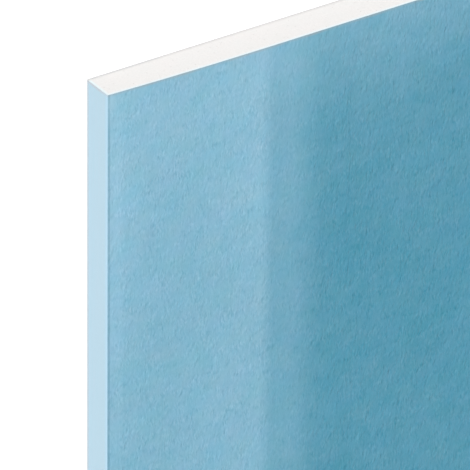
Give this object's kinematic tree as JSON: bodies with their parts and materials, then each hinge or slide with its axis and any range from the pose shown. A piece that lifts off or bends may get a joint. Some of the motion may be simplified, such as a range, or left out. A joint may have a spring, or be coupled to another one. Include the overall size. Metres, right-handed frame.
{
  "type": "drywall sheet",
  "caption": "Flat drywall sheet for lining walls and ceilings: a gypsum core in a blue paper face liner that wraps its tapered long edges, with a grey paper back liner.",
  "frame": {"origin": "middle of the sheet's back, on the surface that the sheet lies on", "axes": "+X across the sheet's width, +Y along its length, +Z out of its face"},
  "size_m": [1.2, 2.4, 0.0125],
  "materials": {
    "face_paper": "matte",
    "gypsum": "matte",
    "back_paper": "matte"
  },
  "bodies": {
    "root": {"face_liner": "face_paper", "gypsum_core": "gypsum", "back_liner": "back_paper"}
  },
  "joints": []
}
